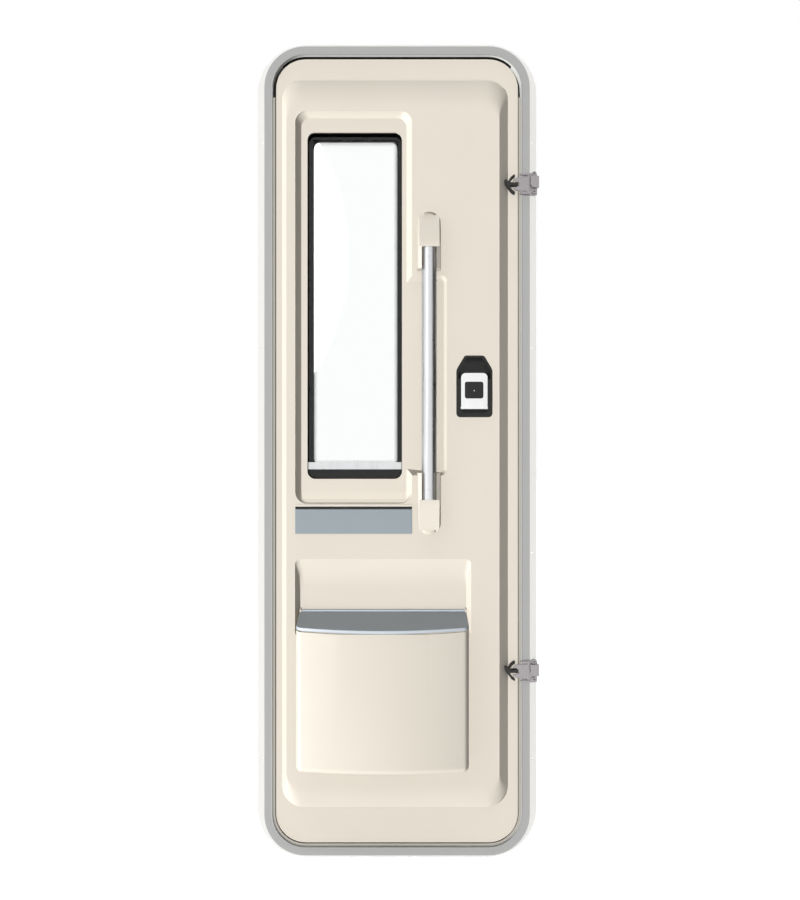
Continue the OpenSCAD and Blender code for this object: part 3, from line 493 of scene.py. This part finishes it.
def fade_tree(material):
    tree = bpy.data.node_groups.new("printed_fade", "GeometryNodeTree")
    tree.interface.new_socket("Geometry", in_out="OUTPUT", socket_type="NodeSocketGeometry")
    for name in ("Width", "Height", "Side Band", "End Band", "Pitch", "Dot Radius"):
        tree.interface.new_socket(name, in_out="INPUT", socket_type="NodeSocketFloat")
    given = add(tree, "NodeGroupInput").outputs

    def sum_of(operation, first, second=0.0):
        node = add(tree, "ShaderNodeMath", {"operation": operation}, {0: first, 1: second})
        return node.outputs[0]

    def into_band(axis_place, size, band):
        """0 where the clear glass begins, and 1 at the printed border."""
        past = sum_of("SUBTRACT", sum_of("ABSOLUTE", axis_place), sum_of("MULTIPLY", size, 0.5))
        return sum_of("MAXIMUM", sum_of("ADD", sum_of("DIVIDE", past, band), 1.0), 0.0)

    grid = add(tree, "GeometryNodeMeshGrid", {}, {
        "Size X": given["Width"], "Size Y": given["Height"],
        "Vertices X": sum_of("DIVIDE", given["Width"], given["Pitch"]),
        "Vertices Y": sum_of("DIVIDE", given["Height"], given["Pitch"])})
    position = add(tree, "GeometryNodeInputPosition")
    place = add(tree, "ShaderNodeSeparateXYZ", {}, {0: position.outputs[0]})
    across = into_band(place.outputs["X"], given["Width"], given["Side Band"])
    along = into_band(place.outputs["Y"], given["Height"], given["End Band"])
    squares = sum_of("ADD", sum_of("POWER", across, 2.0), sum_of("POWER", along, 2.0))
    share = sum_of("SQRT", squares)
    size = sum_of("ADD", sum_of("MULTIPLY", share, 1 - SMALLEST_DOT), SMALLEST_DOT)
    printed = add(tree, "FunctionNodeCompare", {"operation": "GREATER_THAN"}, {
        0: share, 1: FIRST_DOT})
    dot = add(tree, "GeometryNodeMeshCircle", {"fill_type": "NGON"}, {
        "Vertices": DOT_SIDES, "Radius": given["Dot Radius"]})
    dots = add(tree, "GeometryNodeInstanceOnPoints", {}, {
        "Points": grid.outputs["Mesh"], "Selection": printed.outputs[0],
        "Instance": dot.outputs["Mesh"], "Scale": sum_of("MINIMUM", size, 1.0)})
    real = add(tree, "GeometryNodeRealizeInstances", {}, {"Geometry": dots.outputs[0]})
    coloured = add(tree, "GeometryNodeSetMaterial", {}, {
        "Geometry": real.outputs[0], "Material": material})
    add(tree, "NodeGroupOutput", {}, {"Geometry": coloured.outputs[0]})
    return tree


def from_tree(name, tree, values):
    """A piece made by a node tree, with its inputs set by name."""
    piece = bpy.data.objects.new(name, bpy.data.meshes.new(name))
    bpy.context.scene.collection.objects.link(piece)
    maker = piece.modifiers.new("maker", "NODES")
    maker.node_group = tree
    for socket in tree.interface.items_tree:
        if socket.in_out == "INPUT":
            maker[socket.identifier] = values[socket.name]
    baked(piece)
    piece.data.materials.pop(index=0)  # the empty slot that the tree leaves before its own
    return piece


CLEAR_INSET = (21 * MM, 38 * MM)  # from the pane's lower left corner to the clear glass
CLEAR_LOW = Vector((PANE[0].x + CLEAR_INSET[0], PANE[0].y, PANE[0].z + CLEAR_INSET[1]))
CLEAR_SIZE = (187 * MM, 724 * MM)
dots = from_tree("printed_dots", fade_tree(surround_abs), {
    "Width": CLEAR_SIZE[0], "Height": CLEAR_SIZE[1], "Side Band": 9 * MM, "End Band": 14 * MM,
    "Pitch": 2.3 * MM, "Dot Radius": 1.15 * MM})
for vertex in dots.data.vertices:
    across, along, _ = vertex.co
    vertex.co = CLEAR_LOW + Vector(
        (CLEAR_SIZE[0] / 2 + across, -PRINT_T, CLEAR_SIZE[1] / 2 + along))
set_down(dots, "window_spacer")
print("printed dots:", len(dots.data.polygons))

# %% [markdown]
# Small things complete the indoor face. A black sheet on the frame's inner wall is painted shade:
# it stands in for the shadow in the gap over the leaf, which the shadowless key lamp does not cast.
# A white dot on the lever's pad shows where to press.

# %% Painted shade lining of the gap, and pad mark
def solid(name, corners, faces, material):
    """A new piece from its corners, its faces and its material."""
    mesh = bpy.data.meshes.new(name)
    mesh.from_pydata(corners, [], faces)
    mesh.materials.append(material)
    piece = bpy.data.objects.new(name, mesh)
    bpy.context.scene.collection.objects.link(piece)
    return piece


CORNER_STEPS = 12


def rounded_outline(low, high, radius):
    """Points (x, z) of a rounded rectangle, anticlockwise from its right side."""
    outline = []
    for quarter, (x, z) in enumerate((
            (high[0] - radius, high[1] - radius), (low[0] + radius, high[1] - radius),
            (low[0] + radius, low[1] + radius), (high[0] - radius, low[1] + radius))):
        for i in range(CORNER_STEPS + 1):
            turn = math.radians(90 * (quarter + i / CORNER_STEPS))
            outline.append((x + radius * math.cos(turn), z + radius * math.sin(turn)))
    return outline


def prism(name, outline, front_y, back_y, material):
    """A closed solid: an outline of (x, z) points drawn out between two depths."""
    count = len(outline)
    corners = [(x, y, z) for y in (front_y, back_y) for x, z in outline]
    sides = [(i, (i + 1) % count, count + (i + 1) % count, count + i) for i in range(count)]
    ends = [tuple(range(count))[::-1], tuple(range(count, 2 * count))]
    return solid(name, corners, sides + ends, material)


SHADE_LINING_T = 0.8 * MM
SHADE_LINING_Y = (-31 * MM, -16 * MM)
OPENING = ((-273.5 * MM, 28.5 * MM), (273.5 * MM, 1771.5 * MM))
OPENING_R = 71.5 * MM
wall_line = rounded_outline(*OPENING, OPENING_R)
inner_line = rounded_outline(
    [c + SHADE_LINING_T for c in OPENING[0]], [c - SHADE_LINING_T for c in OPENING[1]], OPENING_R - SHADE_LINING_T)
# The painted shade lining covers the top and the upper half of each top corner.
half_corner = CORNER_STEPS // 2
over_top = slice(half_corner, len(wall_line) // 2 - half_corner)
shade_lining_sheet = prism("gap_painted_shade_lining", wall_line[over_top] + inner_line[over_top][::-1],
               *SHADE_LINING_Y, edge_pvc_and_gap_shade)
set_down(shade_lining_sheet, "frame_seal")

pad_low, pad_high = extent("lever_inset")
MARK_R = 1.3 * MM
MARK_SIDES = 16
MARK_UP = 17 * MM  # from the pad's foot to the middle of the dot
mark_turns = [math.tau * i / MARK_SIDES for i in range(MARK_SIDES)]
mark_ring = [(math.cos(turn) * MARK_R, math.sin(turn) * MARK_R) for turn in mark_turns]
mark_x = (pad_low.x + pad_high.x) / 2
mark_y = pad_low.y - PRINT_T
mark = solid("pad_mark", [(mark_x + x, mark_y, pad_low.z + MARK_UP + z) for x, z in mark_ring],
             [tuple(range(MARK_SIDES))], powder_coat)
set_down(mark, "lever_inset")

# %% [markdown]
# The picture is taken from straight in front, level with the middle of the door. The distance is
# chosen so that the deep bin shows as much of its lid as it does in the photograph.

# %% Camera
PHOTO_SCALE = 2.2 * MM  # metres per pixel of the picture, at the trim ring
PHOTO_SIZE = (800, 900)
RING_FACE_Y = -44 * MM
RING_FOOT_Z = 10 * MM
RING_PIXELS = (397, 855.4)  # the ring's middle, across, and its foot, down the picture
CAMERA_DISTANCE = 2.3  # from the ring's face
CAMERA_X = (PHOTO_SIZE[0] / 2 - RING_PIXELS[0]) * PHOTO_SCALE
CAMERA_Z = RING_FOOT_Z + (RING_PIXELS[1] - PHOTO_SIZE[1] / 2) * PHOTO_SCALE

camera_data = bpy.data.cameras.new("photo_camera")
camera_data.sensor_width = 36
camera_data.lens = CAMERA_DISTANCE / PHOTO_SCALE / PHOTO_SIZE[1] * camera_data.sensor_width
camera = bpy.data.objects.new("photo_camera", camera_data)
camera.location = (CAMERA_X, RING_FACE_Y - CAMERA_DISTANCE, CAMERA_Z)
camera.rotation_euler = (math.radians(90), 0, 0)
bpy.context.scene.collection.objects.link(camera)
bpy.context.scene.camera = camera

# %% [markdown]
# Catalogue pictures of doors are lit from one side, so that every slope of the moulding reads:
# slopes that face the lower left shine, and those that face right or up are dark. A sun lamp from
# the lower left does that. It casts no shadow, since a hard one beside the bin would look like a
# dent. A weak wide lamp, a weak sun from above for the bin's lid, and the pale world give the soft
# shading in corners instead. Together they add up to about 1 on the flat face, where a colour
# renders as it is written. Another wide lamp lights the outdoor face.

# %% Lights
def aimed(name, kind, place, energy, **settings):
    """A lamp that looks at the middle of the door."""
    data = bpy.data.lights.new(name, kind)
    data.energy = energy
    for setting, value in settings.items():
        setattr(data, setting, value)
    lit = bpy.data.objects.new(name, data)
    lit.location = place
    lit.rotation_euler = (Vector(DOOR_MIDDLE) - Vector(place)).to_track_quat("-Z", "Y").to_euler()
    bpy.context.scene.collection.objects.link(lit)
    return lit


DOOR_MIDDLE = (0, 0, 0.9)
WORLD_LIGHT = 0.18  # strength of the world as a light
KEY_SHARE = 1.2  # light that the key would give a surface that faces it
SKY_SHARE = 0.14
DISK_SIZE = 2.4
key = aimed("key_low_left", "SUN", (-2.78, -2.33, -0.79), KEY_SHARE * math.pi,
            angle=math.radians(12), use_shadow=False)
key.data.cycles.max_bounces = 0  # its light would otherwise build up in the recesses
aimed("soft_front_left", "AREA", (-2.2, -3.0, 1.9), 8, shape="DISK", size=DISK_SIZE)
aimed("sky_from_above", "SUN", (-0.6, -0.9, 4.0), SKY_SHARE * math.pi, angle=math.radians(40))
aimed("soft_back", "AREA", (-1.4, 3.2, 1.9), 36, shape="DISK", size=DISK_SIZE)

# %% [markdown]
# The page behind the door is pure white, and nothing may be lit more for it. So the world is white
# only to rays from the camera, to mirror reflections and through glass, and pale grey as a light.
# The floor does the same with a share of its own light, which leaves room for a faint shadow.

# %% World, floor and flag
world = bpy.data.worlds.new("pale_studio")
world.use_nodes = True
bpy.context.scene.world = world


def seen_directly(tree):
    """1 for rays that show the background, and 0 for rays that gather light."""
    path = add(tree, "ShaderNodeLightPath")
    eye = add(tree, "ShaderNodeMath", {"operation": "MAXIMUM"}, {
        0: path.outputs["Is Camera Ray"], 1: path.outputs["Is Transmission Ray"]})
    return add(tree, "ShaderNodeMath", {"operation": "MAXIMUM"}, {
        0: eye.outputs[0], 1: path.outputs["Is Glossy Ray"]}).outputs[0]


level = add(world.node_tree, "ShaderNodeMapRange", {}, {
    "Value": seen_directly(world.node_tree), "To Min": WORLD_LIGHT, "To Max": 1.0})
page = world.node_tree.nodes["Background"]
world.node_tree.links.new(level.outputs["Result"], page.inputs["Strength"])
page.inputs["Color"].default_value = (1, 1, 1, 1)

FLOOR_HALF = 30
FLOOR_Z = -0.03
FLOOR_GLOW = 0.5  # share of the floor's look that is its own light
GLOW_STRENGTH = 1.78  # brings the sum of that light and the lamps' light to white
floor_material = shader("pale_floor", "f4f4f4", 0.8)
floor_tree = floor_material.node_tree
glow = add(floor_tree, "ShaderNodeEmission", {}, {
    "Color": (1, 1, 1, 1), "Strength": GLOW_STRENGTH})
share = add(floor_tree, "ShaderNodeMath", {"operation": "MULTIPLY"}, {
    0: seen_directly(floor_tree), 1: FLOOR_GLOW})
floor_mix = add(floor_tree, "ShaderNodeMixShader", {}, {
    0: share.outputs[0], 1: floor_tree.nodes["Principled BSDF"].outputs[0], 2: glow.outputs[0]})
floor_tree.links.new(floor_mix.outputs[0], floor_tree.nodes["Material Output"].inputs["Surface"])


def staged_sheet(name, corners, material):
    sheet = solid(name, corners, [(0, 1, 2, 3)], material)
    return sheet


staged_sheet("pale_floor", [
    (-FLOOR_HALF, -FLOOR_HALF, FLOOR_Z), (FLOOR_HALF, -FLOOR_HALF, FLOOR_Z),
    (FLOOR_HALF, FLOOR_HALF, FLOOR_Z), (-FLOOR_HALF, FLOOR_HALF, FLOOR_Z)], floor_material)

# A dark flag stands out of view on the right. Only mirror reflections see it: it gives the metal
# bar its dark right side, as such a card does in a studio.
flag_material = shader("dark_flag", "2a2a2a", 0.9)
FLAG_X = 1.5
FLAG_Y = (-1.3, 0.9)
FLAG_Z = (-0.6, 2.8)
flag = staged_sheet("dark_flag", [
    (FLAG_X, FLAG_Y[0], FLAG_Z[0]), (FLAG_X, FLAG_Y[1], FLAG_Z[0]),
    (FLAG_X, FLAG_Y[1], FLAG_Z[1]), (FLAG_X, FLAG_Y[0], FLAG_Z[1])], flag_material)
for ray in ("camera", "diffuse", "shadow", "transmission"):
    setattr(flag, "visible_" + ray, False)
bpy.context.scene.view_settings.view_transform = "Standard"
